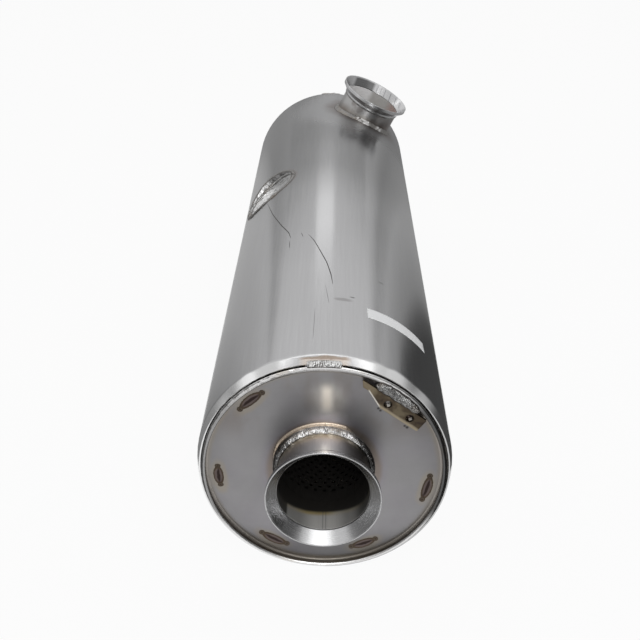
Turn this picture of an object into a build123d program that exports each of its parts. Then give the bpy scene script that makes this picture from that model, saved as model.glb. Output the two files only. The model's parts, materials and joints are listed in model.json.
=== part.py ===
from build123d import *
import math
import os

# Diesel particulate filter can: a double-walled stainless can with an oxidation
# catalyst and a wall-flow filter inside, an inlet stub on one end and an outlet
# stub on the side near the other end. Millimetres. +Y runs along the can from
# the inlet end, +Z is up, +X is to the right seen from the inlet end. The origin
# is on the inlet axis, in the plane of the inlet end's rim.

# Can
CAN_LENGTH = 1020.0
JACKET_OD = 280.0
JACKET_WALL = 1.5
JACKET_SETBACK = 3.0
SHOULDER_LENGTH = 14.0
SHOULDER_DROP = 3.7
SHOULDER_BEND = 20.0
JACKET_SHIFT_X = 0.6
JACKET_SHIFT_Z = 1.1
BLANKET_SPACE = 5.3
SHELL_WALL = 1.5
BLANKET_SETBACK = 26.0
BLANKET_CUTOUT_GAP = 2.5

# Ends
RIM_BEAD_HEIGHT = 1.6
RIM_BEAD_OVERHANG = 0.7
END_PLATE_WALL = 2.0
END_PLATE_RECESS = 8.0
END_PLATE_BEND = 4.0
SHIELD_WALL = 1.5
SHIELD_BEND = 3.0
SHIELD_DEPTH = 15.0
SHIELD_RIM_WIDTH = 13.0
SHIELD_SLOPE_WIDTH = 7.0
FUSION_INSET = 16.2
FUSION_COUNT = 6
FUSION_FIRST_ANGLE = -41.2
FUSION_STEP_ANGLE = 54.0
FUSION_LENGTH = 38.0
FUSION_WIDTH = 11.0
FUSION_HEIGHT = 0.4
STITCH_ANGLE = 0.6
STITCH_SPAN = 17.0
STITCH_LENGTH = 3.8
STITCH_WIDTH = 4.2

# Clearances between pieces
PRESS_GAP = 0.1
SLIP_GAP = 0.2
WRAP_GAP = 0.15
WELD_GAP = 0.05

# A weld's domed face stands out to this share of its legs; 0.5 would be flat
WELD_CROWN = 0.62

# How far a cut runs on past what it cuts
CUT_MARGIN = 10.0

# Stub tubes and their clamp flanges
TUBE_OD = 101.6
TUBE_WALL = 1.65
FLANGE_RISE = 10.7
FLANGE_LIP = 1.2
FLANGE_LAND = 5.0
SEAT_DEPTH = 13.0
SEAT_STEP = 0.8
BACK_TAPER_LENGTH = 9.0
SOCKET_WALL = 1.65
SOCKET_DEPTH = 3.0
FLANGE_WELD_LEG = 3.0
STUB_WELD_LEG = 6.0
INLET_REACH = 47.0
INLET_TUBE_TAIL = 2.0
INLET_WELD_LEG = 6.2
OUTLET_FROM_REAR = 109.0
OUTLET_ANGLE = 26.9
OUTLET_LEAN = 4.5
OUTLET_REACH = 45.4
OUTLET_TUBE_DIP = 40.0

# Perforated inlet diffuser
DIFFUSER_WALL = 1.5
DIFFUSER_LENGTH = 98.0
HOLE_ROWS = 7
HOLES_PER_ROW = 24
HOLE_SIZE = 6.4
HOLE_FIRST_ROW = 26.0
HOLE_ROW_PITCH = 9.0
CAP_LIP = 8.0
CAP_BEND = 5.0

# Catalyst and filter
SUPPORT_SPACE = 3.55
MAT_THICKNESS = 6.0
CANISTER_WALL = 1.5
CANISTER_MARGIN = 9.0
CATALYST_LENGTH = 76.2
FILTER_LENGTH = 254.0
CHAMBER_GAP = 28.0
BRICK_GAP = 14.0
CELL_PITCH = 20.0
CELL_WEB = 4.0
CELL_PLUG = 10.0
SUPPORT_WALL = 1.4
SUPPORT_LEG = 12.0
SUPPORT_INSET = 6.0

# Baffle in the outlet chamber
BAFFLE_WALL = 1.5
BAFFLE_LIP = 12.0
BAFFLE_BEND = 4.0
BAFFLE_HOLE_OD = 46.0
BAFFLE_HOLE_INSET = 46.7
BAFFLE_HOLE_COUNT = 8

# Blanked side port
PORT_OD = 100.0
PORT_WALL = 2.5
PORT_MARGIN = 13.0
PORT_ANGLE = -43.5
PORT_COLLAR_DIP = 24.0
PORT_WELD_WIDTH = 5.0
PORT_WELD_RISE = 1.6
BLANK_WALL = 3.0
BLANK_WELD_LEG = 3.0

# Sensor bracket on the inlet end
BRACKET_ANGLE = 36.7
BRACKET_FRONT = 0.5
BRACKET_WALL = 3.0
BRACKET_INSET = 11.9
BRACKET_DEPTH = 16.6
BRACKET_RIM_GAP = 0.57
BRACKET_LEFT = -38.5
BRACKET_LEFT_SLANT = 6.0
BRACKET_ARM_WIDTH = 6.8
BRACKET_ARM_END = -25.5
BRACKET_TAPER_END = -3.5
BRACKET_CORNER = 1.0
BRACKET_HOLE_INSET = 8.2
BRACKET_HOLE_FIRST = 1.0
BRACKET_HOLE_SPACING = 29.0
BRACKET_HOLE_D = 9.0
NUT_THREAD_D = 8.0
NUT_FLATS = 13.0
NUT_HEIGHT = 4.0
BRACKET_WELD_FROM = -23.0
BRACKET_WELD_TO = 34.0
BRACKET_WELD_RISE = 2.0

# Points tested along an edge when a joint's line is looked for
SAMPLES = [0.0, 0.25, 0.5, 0.75, 1.0]

# Sizes worked out from those above
JACKET_R = JACKET_OD / 2
JACKET_IR = JACKET_R - JACKET_WALL
SHELL_R = JACKET_IR - BLANKET_SPACE
SHELL_IR = SHELL_R - SHELL_WALL
SHELL_START = RIM_BEAD_HEIGHT
SHELL_END = CAN_LENGTH - RIM_BEAD_HEIGHT
RIM_BEAD_IR = SHELL_IR - PRESS_GAP - END_PLATE_WALL - RIM_BEAD_OVERHANG
FUSION_RADIUS = SHELL_IR - FUSION_INSET
TUBE_R = TUBE_OD / 2
TUBE_IR = TUBE_R - TUBE_WALL
FLANGE_R = TUBE_R + FLANGE_RISE
SEAT_R = TUBE_R - SEAT_STEP
SOCKET_IR = TUBE_R + WRAP_GAP
FLANGE_DEPTH = FLANGE_LAND + BACK_TAPER_LENGTH + SOCKET_DEPTH
SOCKET_R = SOCKET_IR + SOCKET_WALL
SOCKET_STOP = FLANGE_LAND + BACK_TAPER_LENGTH
PLATE_FRONT = END_PLATE_RECESS
PLATE_BACK = PLATE_FRONT + END_PLATE_WALL
DIFFUSER_IR = TUBE_R + SLIP_GAP
DIFFUSER_R = DIFFUSER_IR + DIFFUSER_WALL
DIFFUSER_START = PLATE_BACK + PRESS_GAP
DIFFUSER_END = DIFFUSER_START + DIFFUSER_LENGTH
CANISTER_R = SHELL_IR - SUPPORT_SPACE
CANISTER_IR = CANISTER_R - CANISTER_WALL
BRICK_R = CANISTER_IR - MAT_THICKNESS
CATALYST_CAN_START = DIFFUSER_END + CHAMBER_GAP
CATALYST_CAN_END = CATALYST_CAN_START + CATALYST_LENGTH + 2 * CANISTER_MARGIN
FILTER_CAN_START = CATALYST_CAN_END + BRICK_GAP
FILTER_CAN_END = FILTER_CAN_START + FILTER_LENGTH + 2 * CANISTER_MARGIN
PORT_R = PORT_OD / 2
PORT_STATION = FILTER_CAN_END + PORT_MARGIN + PORT_R
OUTLET_STATION = CAN_LENGTH - OUTLET_FROM_REAR
BAFFLE_STATION = (PORT_STATION + OUTLET_STATION) / 2
PORT_IR = PORT_R - PORT_WALL
BLANK_SAG = JACKET_R - math.sqrt(JACKET_R**2 - PORT_R**2)
BRACKET_OUTER = SHELL_IR - BRACKET_INSET
BRACKET_INNER = BRACKET_OUTER - BRACKET_DEPTH
BRACKET_RIGHT = math.sqrt((RIM_BEAD_IR - BRACKET_RIM_GAP) ** 2 - BRACKET_OUTER**2)
BRACKET_HOLE_LINE = BRACKET_OUTER - BRACKET_HOLE_INSET


def radial(angle):
    """Unit vector out from the can's axis, at an angle from the top towards the right."""
    return Vector(math.sin(math.radians(angle)), 0, math.cos(math.radians(angle)))


def tangent(angle):
    return Vector(math.cos(math.radians(angle)), 0, -math.sin(math.radians(angle)))


def side_frame(angle, station, lean, reach):
    """Plane across a side stub, reach above the jacket, its normal pointing out along the stub."""
    out = radial(angle) * math.cos(math.radians(lean)) - Vector(0, math.sin(math.radians(lean)), 0)
    crown = Vector(JACKET_SHIFT_X, station, JACKET_SHIFT_Z) + radial(angle) * JACKET_R
    return Plane(origin=crown + out * reach, x_dir=tangent(angle), z_dir=out)


INLET = Plane(origin=(0, -INLET_REACH, 0), x_dir=(1, 0, 0), z_dir=(0, -1, 0))
OUTLET = side_frame(OUTLET_ANGLE, OUTLET_STATION, OUTLET_LEAN, OUTLET_REACH)
PORT = side_frame(PORT_ANGLE, PORT_STATION, 0, 0)
BRACKET = Plane(origin=(0, BRACKET_FRONT, 0), x_dir=tangent(BRACKET_ANGLE), z_dir=(0, -1, 0))
MIDDLE = Plane(origin=(0, CAN_LENGTH / 2, 0), z_dir=(0, 1, 0))


def turned(*corners):
    """Solid of revolution about the can's axis, from (radius, station) corners."""
    return revolve(make_face(Polyline(*corners, close=True)), Axis.Y)


def rolled(wall, bend, *corners):
    """Sheet of revolution about the can's axis: its middle line runs through the corners."""
    return revolve(trace(FilletPolyline(*corners, radius=bend), wall), Axis.Y)


def barrel(outer, inner, start, end):
    return turned((inner, start), (outer, start), (outer, end), (inner, end))


def can_core(radius):
    """Long cylinder about the jacket's own axis."""
    axis = Plane(origin=(JACKET_SHIFT_X, CAN_LENGTH / 2, JACKET_SHIFT_Z), z_dir=(0, 1, 0))
    return axis * Cylinder(radius, CAN_LENGTH)


def stub_turned(frame, *corners):
    """Solid of revolution about a stub's axis, from (radius, height) corners in its frame."""
    return frame * revolve(make_face(Plane.XZ * Polyline(*corners, close=True)), Axis.Z)


def stub_hole(frame, radius, depth):
    return frame * extrude(Plane.XY.offset(-depth) * Circle(radius), amount=depth + CUT_MARGIN)


def bead_section(corner, out, along):
    """Section of a weld in a corner, from its two signed legs, with a domed face."""
    r, station = corner
    toes = (r + out, station), (r, station + along)
    face = ThreePointArc(toes[0], (r + WELD_CROWN * out, station + WELD_CROWN * along), toes[1])
    return make_face(face + Polyline(toes[1], corner, toes[0]))


def saddle_fillet(frame, stub_radius, leg):
    """Weld fillet in the corner between a stub and the jacket's outside."""
    can, stub = can_core(JACKET_R + WELD_GAP), stub_hole(frame, stub_radius, JACKET_R / 2)
    joined = can + stub
    corner = joined.edges().filter_by(lambda edge: is_saddle(edge, frame, stub_radius))
    return fillet(corner, leg) - can - stub


def is_saddle(edge, frame, stub_radius):
    """True for an edge that lies on the stub's wall and on the jacket's outside."""
    on_can = [math.hypot(p.X - JACKET_SHIFT_X, p.Z - JACKET_SHIFT_Z) for p in edge.positions(SAMPLES)]
    local = [frame.to_local_coords(p) for p in edge.positions(SAMPLES)]
    on_stub = [math.hypot(p.X, p.Y) for p in local]
    near = all(abs(r - JACKET_R - WELD_GAP) < WELD_GAP for r in on_can)
    return near and all(abs(r - stub_radius) < WELD_GAP for r in on_stub)


def saddle_band(frame, outer, inner, rise):
    """Rounded bead that lies on the jacket's outside along a round joint."""
    ring = stub_hole(frame, outer, JACKET_R / 2) - stub_hole(frame, inner, JACKET_R)
    band = (ring & can_core(JACKET_R + rise)) - can_core(JACKET_R + WELD_GAP)
    top = band.faces().sort_by(Axis(frame.origin, frame.z_dir))[-1]
    return fillet(top.edges(), rise / 2)


def mirrored(shape):
    return mirror(shape, about=MIDDLE)


def side_openings(clearance):
    """Holes through the can's walls for the outlet tube and the side port."""
    outlet = stub_hole(OUTLET, TUBE_R + clearance, OUTLET_REACH + OUTLET_TUBE_DIP)
    port = stub_hole(PORT, PORT_R + clearance, PORT_COLLAR_DIP + PORT_WALL)
    return [outlet, port]


def jacket():
    r = JACKET_R - JACKET_WALL / 2
    start, bend = JACKET_SETBACK, JACKET_SETBACK + SHOULDER_LENGTH
    sheet = rolled(
        JACKET_WALL,
        SHOULDER_BEND,
        (r - SHOULDER_DROP, start),
        (r, bend),
        (r, CAN_LENGTH - bend),
        (r - SHOULDER_DROP, CAN_LENGTH - start),
    )
    return Pos(JACKET_SHIFT_X, 0, JACKET_SHIFT_Z) * sheet - side_openings(SLIP_GAP)


def insulation_blanket():
    """Fills the space between the shell and the jacket, so it is thicker on one side."""
    outside = Plane(origin=(JACKET_SHIFT_X, BLANKET_SETBACK, JACKET_SHIFT_Z), z_dir=(0, 1, 0))
    length = CAN_LENGTH - 2 * BLANKET_SETBACK
    wrap = extrude(outside * Circle(JACKET_IR - WRAP_GAP), amount=length)
    bore = barrel(SHELL_R + WRAP_GAP, 0.0, 0.0, CAN_LENGTH)
    return wrap - bore - side_openings(BLANKET_CUTOUT_GAP)


def inner_shell():
    return barrel(SHELL_R, SHELL_IR, SHELL_START, SHELL_END) - side_openings(SLIP_GAP)


def end_plate():
    """Dished end with its rim turned outwards, up to the edge of the shell."""
    half = END_PLATE_WALL / 2
    rim = SHELL_IR - PRESS_GAP - half
    return rolled(END_PLATE_WALL, END_PLATE_BEND, (0, PLATE_FRONT + half), (rim, PLATE_FRONT + half),
                  (rim, SHELL_START))


def front_end_plate():
    return end_plate() - stub_hole(INLET, TUBE_R + SLIP_GAP, INLET_REACH + PLATE_BACK + END_PLATE_WALL)


def shield(inner_radius):
    """Inner plate whose raised rim lies against the back of the end plate."""
    half = SHIELD_WALL / 2
    rim_out = FUSION_RADIUS + SHIELD_RIM_WIDTH / 2
    rim_in = FUSION_RADIUS - SHIELD_RIM_WIDTH / 2
    rim_at = PLATE_BACK + WELD_GAP + half
    floor_at = rim_at + SHIELD_DEPTH
    return rolled(SHIELD_WALL, SHIELD_BEND, (rim_out, rim_at), (rim_in, rim_at),
                  (rim_in - SHIELD_SLOPE_WIDTH, floor_at), (inner_radius, floor_at))


def end_insulation(inner_radius):
    start = PLATE_BACK + WELD_GAP
    end = start + SHIELD_DEPTH - WRAP_GAP
    outer = FUSION_RADIUS - (SHIELD_RIM_WIDTH + SHIELD_BEND) / 2 - SHIELD_WALL
    floor_outer = outer - SHIELD_SLOPE_WIDTH
    return turned((inner_radius, start), (outer, start), (floor_outer, end), (inner_radius, end))


def rim_weld():
    toes = (RIM_BEAD_IR, SHELL_START), (SHELL_R + WELD_GAP, SHELL_START)
    crown = ThreePointArc(toes[0], ((RIM_BEAD_IR + SHELL_R + WELD_GAP) / 2, 0.0), toes[1])
    return revolve(make_face(crown + Line(toes[1], toes[0])), Axis.Y)


def fusion_welds():
    lens = extrude(Plane.XZ * Ellipse(FUSION_LENGTH / 2, FUSION_WIDTH / 2), amount=FUSION_HEIGHT)
    seat = Pos(0, PLATE_FRONT, FUSION_RADIUS)
    angles = [FUSION_FIRST_ANGLE - FUSION_STEP_ANGLE * k for k in range(FUSION_COUNT)]
    return [Rot(0, angle, 0) * seat * lens for angle in angles]


def stitch_weld():
    """Short bead from the shell's edge up to the jacket's end, at the top."""
    inner = SHELL_R + WELD_GAP
    slope = math.atan(SHOULDER_DROP / SHOULDER_LENGTH)
    top = JACKET_SETBACK - JACKET_WALL / 2 * math.sin(slope) - WELD_GAP
    bead = revolve(bead_section((inner, top), STITCH_WIDTH, -STITCH_LENGTH), Axis.Y, STITCH_SPAN)
    quarter_turn = 90.0
    return Rot(0, STITCH_ANGLE - STITCH_SPAN / 2 - quarter_turn, 0) * bead


def clamp_flange(frame):
    """Machined flange: conical seat inside, clamp taper behind the land, socket for the tube."""
    return stub_turned(
        frame,
        (FLANGE_R - FLANGE_LIP, 0), (FLANGE_R, 0), (FLANGE_R, -FLANGE_LAND),
        (SOCKET_R, -SOCKET_STOP), (SOCKET_R, -FLANGE_DEPTH), (SOCKET_IR, -FLANGE_DEPTH),
        (SOCKET_IR, -SOCKET_STOP), (SEAT_R, -SOCKET_STOP), (SEAT_R, -SEAT_DEPTH),
    )


def stub_tube(frame, depth):
    top = SOCKET_STOP + PRESS_GAP
    return stub_turned(frame, (TUBE_IR, -top), (TUBE_R, -top), (TUBE_R, -depth), (TUBE_IR, -depth))


def flange_weld(frame):
    corner = TUBE_R + WELD_GAP, -FLANGE_DEPTH - WELD_GAP
    return frame * revolve(Plane.XZ * bead_section(corner, SOCKET_WALL, -FLANGE_WELD_LEG), Axis.Z)


def inlet_tube():
    return stub_tube(INLET, INLET_REACH + PLATE_BACK + INLET_TUBE_TAIL)


def inlet_weld():
    corner = TUBE_R + WELD_GAP, PLATE_FRONT - WELD_GAP
    return revolve(bead_section(corner, INLET_WELD_LEG, -INLET_WELD_LEG), Axis.Y)


def diffuser_tube():
    """Tube behind the inlet, with staggered rows of holes."""
    tube = barrel(DIFFUSER_R, DIFFUSER_IR, DIFFUSER_START, DIFFUSER_END)
    punch = extrude(RegularPolygon(HOLE_SIZE / 2, 6), amount=CUT_MARGIN)
    pitch = 360.0 / HOLES_PER_ROW
    punches = []
    for row in range(HOLE_ROWS):
        place = Pos(0, DIFFUSER_START + HOLE_FIRST_ROW + row * HOLE_ROW_PITCH, DIFFUSER_IR - CUT_MARGIN / 2)
        turn = pitch / 2 * (row % 2)
        punches += [Rot(0, turn + pitch * k, 0) * place * punch for k in range(HOLES_PER_ROW)]
    return tube - punches


def diffuser_cap():
    """Dished cap pushed into the end of the diffuser, its lip facing back."""
    half = DIFFUSER_WALL / 2
    rim = DIFFUSER_IR - PRESS_GAP - half
    floor = DIFFUSER_END - CAP_LIP
    return rolled(DIFFUSER_WALL, CAP_BEND, (0, floor), (rim, floor), (rim, DIFFUSER_END))


def cells(start, end, wall_flow):
    """Square channels of a honeycomb brick; wall flow plugs neighbours at opposite ends."""
    reach = int(BRICK_R // CELL_PITCH) + 1
    size = CELL_PITCH - CELL_WEB
    channels = []
    for i in range(-reach, reach):
        for j in range(-reach, reach):
            x, z = (i + 0.5) * CELL_PITCH, (j + 0.5) * CELL_PITCH
            if math.hypot(abs(x) + size / 2, abs(z) + size / 2) > BRICK_R - CELL_WEB:
                continue
            near_plug = CELL_PLUG if wall_flow and (i + j) % 2 else 0.0
            far_plug = CELL_PLUG if wall_flow and not (i + j) % 2 else 0.0
            length = end - start - near_plug - far_plug
            channels.append(Pos(x, start + near_plug + length / 2, z) * Box(size, length, size))
    return channels


def brick(start, length, wall_flow):
    end = start + length
    return barrel(BRICK_R, 0.0, start, end) - cells(start, end, wall_flow)


def mat(start, length):
    return barrel(CANISTER_IR - SLIP_GAP, BRICK_R + SLIP_GAP, start, start + length)


def support_ring(station):
    """Angle ring that carries a canister in the shell."""
    inner, outer = CANISTER_R + WELD_GAP, SHELL_IR - WELD_GAP
    lip = inner + SUPPORT_WALL
    far = station + SUPPORT_LEG
    return turned((inner, station), (outer, station), (outer, station + SUPPORT_WALL),
                  (lip, station + SUPPORT_WALL), (lip, far), (inner, far))


def outlet_baffle():
    half = BAFFLE_WALL / 2
    rim = SHELL_IR - WELD_GAP - half
    plate = rolled(BAFFLE_WALL, BAFFLE_BEND, (0, BAFFLE_STATION), (rim, BAFFLE_STATION),
                   (rim, BAFFLE_STATION + BAFFLE_LIP))
    drill = Rot(90, 0, 0) * Cylinder(BAFFLE_HOLE_OD / 2, 2 * CUT_MARGIN)
    place = Pos(0, BAFFLE_STATION, SHELL_IR - BAFFLE_HOLE_INSET)
    pitch = 360.0 / BAFFLE_HOLE_COUNT
    return plate - [Rot(0, pitch * k, 0) * place * drill for k in range(BAFFLE_HOLE_COUNT)]


def outlet_tube():
    return stub_tube(OUTLET, OUTLET_REACH + OUTLET_TUBE_DIP)


def outlet_weld():
    return saddle_fillet(OUTLET, TUBE_R + WELD_GAP, STUB_WELD_LEG)


def port_collar():
    collar = stub_turned(PORT, (PORT_IR, -PORT_COLLAR_DIP), (PORT_R, -PORT_COLLAR_DIP), (PORT_R, PORT_WALL),
                         (PORT_IR, PORT_WALL))
    return collar & can_core(JACKET_R)


def port_blank():
    return PORT * Pos(0, 0, -BLANK_SAG - BLANK_WALL / 2) * Cylinder(PORT_IR - PRESS_GAP, BLANK_WALL)


def blank_weld():
    corner = PORT_IR - WELD_GAP, -BLANK_SAG + WELD_GAP
    return PORT * revolve(Plane.XZ * bead_section(corner, -BLANK_WELD_LEG, BLANK_WELD_LEG), Axis.Z)


def port_weld():
    half = PORT_WELD_WIDTH / 2
    return saddle_band(PORT, PORT_R + half, PORT_R - half, PORT_WELD_RISE) - blank_weld()


def bracket_plate():
    """Flat plate with a narrow arm on its left, two holes and a tapered lower edge."""
    arm = BRACKET_OUTER - BRACKET_ARM_WIDTH
    outline = make_face(Polyline(
        (BRACKET_TAPER_END, BRACKET_INNER),
        (BRACKET_RIGHT, BRACKET_INNER),
        (BRACKET_RIGHT, BRACKET_OUTER),
        (BRACKET_LEFT, BRACKET_OUTER),
        (BRACKET_LEFT + BRACKET_LEFT_SLANT, arm),
        (BRACKET_ARM_END, arm),
        close=True,
    ))
    plate = extrude(fillet(outline.vertices(), BRACKET_CORNER), amount=-BRACKET_WALL)
    hole = Cylinder(BRACKET_HOLE_D / 2, 2 * CUT_MARGIN)
    return BRACKET * (plate - [Pos(x, BRACKET_HOLE_LINE, 0) * hole for x in nut_places()])


def nut_places():
    return [BRACKET_HOLE_FIRST, BRACKET_HOLE_FIRST + BRACKET_HOLE_SPACING]


def bracket_nuts():
    corner_radius = NUT_FLATS / math.sqrt(3)
    nut = extrude(RegularPolygon(corner_radius, 6) - Circle(NUT_THREAD_D / 2), amount=-NUT_HEIGHT)
    back = -BRACKET_WALL - WELD_GAP
    return [BRACKET * Pos(x, BRACKET_HOLE_LINE, back) * nut for x in nut_places()]


def bracket_weld():
    """Bead that fills the gap between the bracket's outer edge and the rim."""
    reach = RIM_BEAD_IR - WELD_GAP
    length = BRACKET_WELD_TO - BRACKET_WELD_FROM
    middle = (BRACKET_WELD_TO + BRACKET_WELD_FROM) / 2
    foot = BRACKET_OUTER + WELD_GAP
    slab = Pos(middle, foot, 0) * Rectangle(length, reach, align=(Align.CENTER, Align.MIN))
    section = slab & Circle(reach)
    bead = Pos(0, 0, -BRACKET_WALL) * extrude(section, amount=BRACKET_WALL + BRACKET_WELD_RISE)
    return BRACKET * bead


def write(name, *shapes):
    """One file for each named piece; several solids stay separate in it."""
    solids = [solid for shape in shapes for solid in shape.solids()]
    piece = solids[0] if len(solids) == 1 else Compound(children=solids)
    export_step(piece, f"parts/{name}.step")


def main():
    os.makedirs("parts", exist_ok=True)
    write("jacket", jacket())
    write("insulation_blanket", insulation_blanket())
    write("inner_shell", inner_shell())
    write("front_end_plate", front_end_plate())
    write("rear_end_plate", mirrored(end_plate()))
    write("front_rim_weld", rim_weld())
    write("rear_rim_weld", mirrored(rim_weld()))
    write("front_heat_shield", shield(DIFFUSER_R + SLIP_GAP))
    write("rear_heat_shield", mirrored(shield(0.0)))
    write("front_end_insulation", end_insulation(DIFFUSER_R + SLIP_GAP))
    write("rear_end_insulation", mirrored(end_insulation(0.0)))
    write("front_fusion_welds", *fusion_welds())
    write("rear_fusion_welds", *[mirrored(weld) for weld in fusion_welds()])
    write("front_stitch_weld", stitch_weld())
    write("rear_stitch_weld", mirrored(stitch_weld()))
    write("inlet_flange", clamp_flange(INLET))
    write("inlet_flange_weld", flange_weld(INLET))
    write("inlet_tube", inlet_tube())
    write("inlet_weld", inlet_weld())
    write("diffuser_tube", diffuser_tube())
    write("diffuser_cap", diffuser_cap())
    write("catalyst_canister", barrel(CANISTER_R, CANISTER_IR, CATALYST_CAN_START, CATALYST_CAN_END))
    write("catalyst_mat", mat(CATALYST_CAN_START + CANISTER_MARGIN, CATALYST_LENGTH))
    write("catalyst_brick", brick(CATALYST_CAN_START + CANISTER_MARGIN, CATALYST_LENGTH, False))
    write("filter_canister", barrel(CANISTER_R, CANISTER_IR, FILTER_CAN_START, FILTER_CAN_END))
    write("filter_mat", mat(FILTER_CAN_START + CANISTER_MARGIN, FILTER_LENGTH))
    write("filter_brick", brick(FILTER_CAN_START + CANISTER_MARGIN, FILTER_LENGTH, True))
    write("catalyst_front_ring", support_ring(CATALYST_CAN_START + SUPPORT_INSET))
    write("catalyst_rear_ring", support_ring(CATALYST_CAN_END - SUPPORT_INSET - SUPPORT_LEG))
    write("filter_front_ring", support_ring(FILTER_CAN_START + SUPPORT_INSET))
    write("filter_rear_ring", support_ring(FILTER_CAN_END - SUPPORT_INSET - SUPPORT_LEG))
    write("outlet_baffle", outlet_baffle())
    write("outlet_flange", clamp_flange(OUTLET))
    write("outlet_flange_weld", flange_weld(OUTLET))
    write("outlet_tube", outlet_tube())
    write("outlet_weld", outlet_weld())
    write("port_collar", port_collar())
    write("port_blank", port_blank())
    write("port_weld", port_weld())
    write("blank_weld", blank_weld())
    write("bracket_plate", bracket_plate())
    write("bracket_nuts", *bracket_nuts())
    write("bracket_weld", bracket_weld())


main()
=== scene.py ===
"""Looks of the diesel particulate filter: finishes, weld beads, fine holes, sticker and scratches.

Lengths are millimetres in the part's frame: +Y along the can, +Z up, origin at the inlet end's rim.
What is read from the frame or given to Blender is in metres and is turned at that place.
Angles round the can are degrees from the top towards the right, seen from the inlet end.
"""

import json
from math import atan2, cos, degrees, exp, hypot, pi, radians, sin

import bpy
import numpy as np
from mathutils import Matrix, Vector, noise

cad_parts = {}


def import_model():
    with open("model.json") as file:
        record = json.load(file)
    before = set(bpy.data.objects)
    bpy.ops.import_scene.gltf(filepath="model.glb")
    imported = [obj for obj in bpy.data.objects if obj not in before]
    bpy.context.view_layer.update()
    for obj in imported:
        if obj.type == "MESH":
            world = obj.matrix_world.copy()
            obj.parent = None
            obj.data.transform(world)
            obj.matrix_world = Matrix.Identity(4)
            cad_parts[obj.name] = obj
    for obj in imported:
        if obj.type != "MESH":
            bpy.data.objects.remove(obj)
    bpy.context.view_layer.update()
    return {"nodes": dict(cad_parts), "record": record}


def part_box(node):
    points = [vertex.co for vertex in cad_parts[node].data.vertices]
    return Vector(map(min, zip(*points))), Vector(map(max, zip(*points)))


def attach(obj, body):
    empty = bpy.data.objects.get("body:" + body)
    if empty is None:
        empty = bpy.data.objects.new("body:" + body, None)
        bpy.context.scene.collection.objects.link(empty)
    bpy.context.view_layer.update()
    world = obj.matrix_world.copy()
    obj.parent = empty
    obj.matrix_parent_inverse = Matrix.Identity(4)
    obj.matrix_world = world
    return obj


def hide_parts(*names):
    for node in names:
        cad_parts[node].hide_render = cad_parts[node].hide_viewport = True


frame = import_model()
scene = bpy.context.scene
mounts = {mount["name"]: mount for mount in frame["record"]["mounts"]}

MM = 0.001


def box(node):
    """A node's lowest and highest corners."""
    low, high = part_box(node)
    return low / MM, high / MM


def mount_place(name):
    return np.array(mounts[name]["pos_m"]) / MM


# Sizes read from the frame
JACKET_LOW, JACKET_HIGH = box("jacket")
JACKET_R = (JACKET_HIGH.x - JACKET_LOW.x) / 2
JACKET_X = (JACKET_HIGH.x + JACKET_LOW.x) / 2
JACKET_Z = JACKET_LOW.z + JACKET_R
CAN_LENGTH = box("rear_rim_weld")[1].y
SHELL_LOW, SHELL_HIGH = box("inner_shell")
SHELL_R = SHELL_HIGH.x
RIM_BASE = SHELL_LOW.y
PLATE_FRONT = box("front_fusion_welds")[1].y
TUBE_R = box("inlet_tube")[1].x
TUBE_BORE = mounts["inlet_bore"]["dims"]["r_mm"]
LAND_HALF = mounts["outlet_rim"]["dims"]["length_mm"] / 2
FLANGE_LOW, FLANGE_HIGH = box("inlet_flange")
DIFFUSER_LOW, DIFFUSER_HIGH = box("diffuser_tube")
BRACKET_FRONT = box("bracket_plate")[0].y
CATALYST_FACE = box("catalyst_brick")[0].y

# Sizes and places of the weld beads
RIM_BEAD_IN = 2.8
RIM_BEAD_LEG = 1.6
RIM_SPREAD = 1.7
RIM_ROUGH_AT = 325
INLET_LEG = 6
INLET_TOE = 4.6
WET_REACH = 6
WET_HEIGHT = 1.1
OUTLET_LEG = 6
FLANGE_LEG = 3
FLANGE_LEG_OUT = 1.65
STITCH_START = -7.9
STITCH_SWEEP = 17
STITCH_LENGTH = 40
BRACKET_BEAD = (-23.5, 34)
BRACKET_BEAD_UNEVEN = 1.1

# Side port and its disc
PORT_R = 50
PORT_BORE = 47.5
PORT_ANGLE = -43.5
PORT_BAND = 5
BLANK_LEG = 3
BLANK_SAG = 9.2

# Fusion marks on the end plates
FUSION_R = 115.5
FUSION_START = -41.2
FUSION_PITCH = 54
FUSION_HALF = 16.5
FUSION_WIDTH = 11.8
FUSION_DOT = 3.6
FUSION_HEIGHT = 0.4
FUSION_CELL = 0.55
# Each mark from the upper left anticlockwise: shift outwards, turn in degrees, share of the length
FUSION_MARKS = [(2, 0.5, 0.95), (0.5, 0.8, 0.78), (-1.3, -0.5, 1), (-1.5, 0.2, 0.92), (0.9, -0.1, 1),
                (0, 0, 1)]

# Sensor bracket
BRACKET_ANGLE = 36.7
BRACKET_OUTER = 119.8
BRACKET_WIDTH = 16.6
BRACKET_ARM_END = -25.5
BRACKET_ARM_WIDTH = 6.8
BRACKET_SLOPE = 0.445

# Perforated tube behind the inlet
HOLE_ROWS = 10
HOLES_PER_ROW = 31
HOLE_R = 2.5
HOLE_SIDES = 12
HOLE_FIRST_ROW = 25.5
HOLE_ROW_PITCH = 7.05
DIFFUSER_WALL = 1.5

# Where the inlet tube turns near black inside, how much sooner at its sides, and the two lines of its seam
DARK_FROM = -6
DARK_CURVE = 0.006
TUBE_SEAM = (-1.2, 2)

# Painted highlight, a pale patch on the inlet end above the tube: middle and reach, across and up
HIGHLIGHT_PLACE = (5.5, 91)
HIGHLIGHT_REACH = (26, 25)

# Dark marks on the inlet end just below the bracket, and stains on the inlet flange, as x, z and radius
BELOW_BRACKET_MARKS = [(57.9, 79.2, 1), (60.1, 76.6, 0.9), (86.2, 57, 0.9), (88.8, 55, 1.2)]
FLANGE_STAINS = [(-60.6, -14.7, 1.2), (-51.5, -26.5, 2.6), (-48.3, -30.5, 2.8), (-44, -34.5, 2.4)]

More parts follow.
